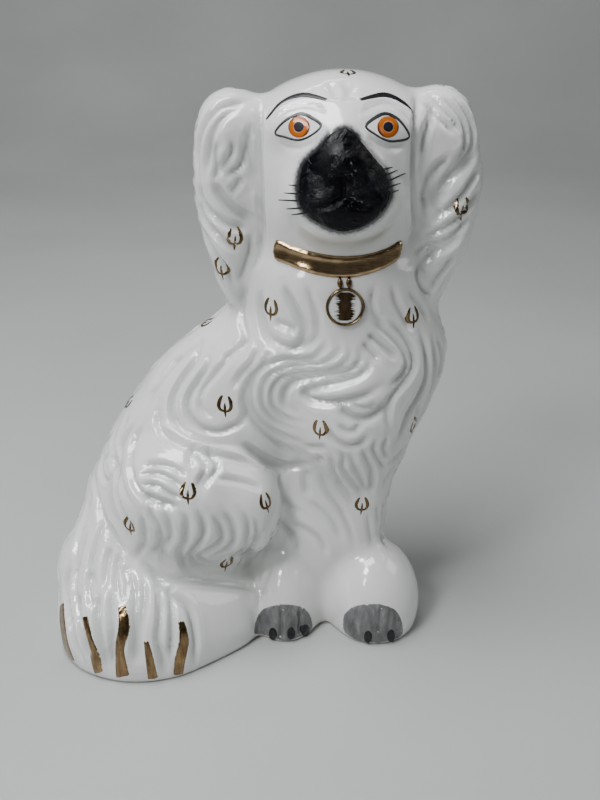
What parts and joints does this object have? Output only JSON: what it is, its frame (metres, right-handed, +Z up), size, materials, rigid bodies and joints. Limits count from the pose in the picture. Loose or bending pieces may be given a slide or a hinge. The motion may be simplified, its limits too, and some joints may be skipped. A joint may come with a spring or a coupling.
{
  "type": "ceramic dog figurine",
  "caption": "Hollow slip-cast seated spaniel figurine in glossy white glaze, head turned to the viewer, with gilt collar, locket, sprigs and tail, black muzzle and amber eyes.",
  "frame": {"origin": "centre of the figure's bounding box, on the plane it stands on", "axes": "+Z up; +X along the foot from the tail to the forepaws; -Y is the display side that the face and haunch are turned to"},
  "size_m": [0.1798, 0.0978, 0.2297],
  "materials": {
    "white_glaze": "clear high-gloss glaze over white earthenware",
    "gilding": "fired liquid bright gold, mirror gloss with brush marks",
    "black_enamel": "glossy black overglaze enamel, sponged at the edge",
    "charcoal_enamel": "thin brushed charcoal line",
    "amber_enamel": "glossy orange-amber enamel",
    "grey_enamel": "brushed matt grey enamel"
  },
  "bodies": {
    "root": {"ceramic_body": "white_glaze", "claw_left_1": "black_enamel", "claw_left_2": "black_enamel", "claw_left_3": "black_enamel", "claw_right_1": "black_enamel", "claw_right_2": "black_enamel", "eyebrow_left": "black_enamel", "eyebrow_right": "black_enamel", "eyeliner_left": "charcoal_enamel", "eyeliner_right": "charcoal_enamel", "gilt_collar": "gilding", "iris_left": "amber_enamel", "iris_right": "amber_enamel", "locket_disc": "white_glaze", "locket_gilding": "gilding", "locket_link_left": "gilding", "locket_link_right": "gilding", "locket_rim": "gilding", "muzzle_enamel": "black_enamel", "paw_enamel_left": "grey_enamel", "paw_enamel_right": "grey_enamel", "pupil_left": "black_enamel", "pupil_right": "black_enamel", "sprig_back_l": "gilding", "sprig_chest_c": "gilding", "sprig_chest_l": "gilding", "sprig_chest_lo_r": "gilding", "sprig_chest_r": "gilding", "sprig_ear_l_1": "gilding", "sprig_ear_l_2": "gilding", "sprig_ear_r": "gilding", "sprig_foreleg": "gilding", "sprig_haunch_1": "gilding", "sprig_haunch_2": "gilding", "sprig_head_top": "gilding", "sprig_knee": "gilding", "sprig_neck_l": "gilding", "sprig_rear_1": "gilding", "sprig_rear_2": "gilding", "sprig_rear_3": "gilding", "sprig_rear_4": "gilding", "sprig_rear_5": "gilding", "sprig_rear_6": "gilding", "sprig_shin": "gilding", "sprig_shoulder_l": "gilding", "tail_gilt_1": "gilding", "tail_gilt_2": "gilding", "tail_gilt_3": "gilding", "tail_gilt_4": "gilding", "tail_gilt_5": "gilding"}
  },
  "joints": []
}
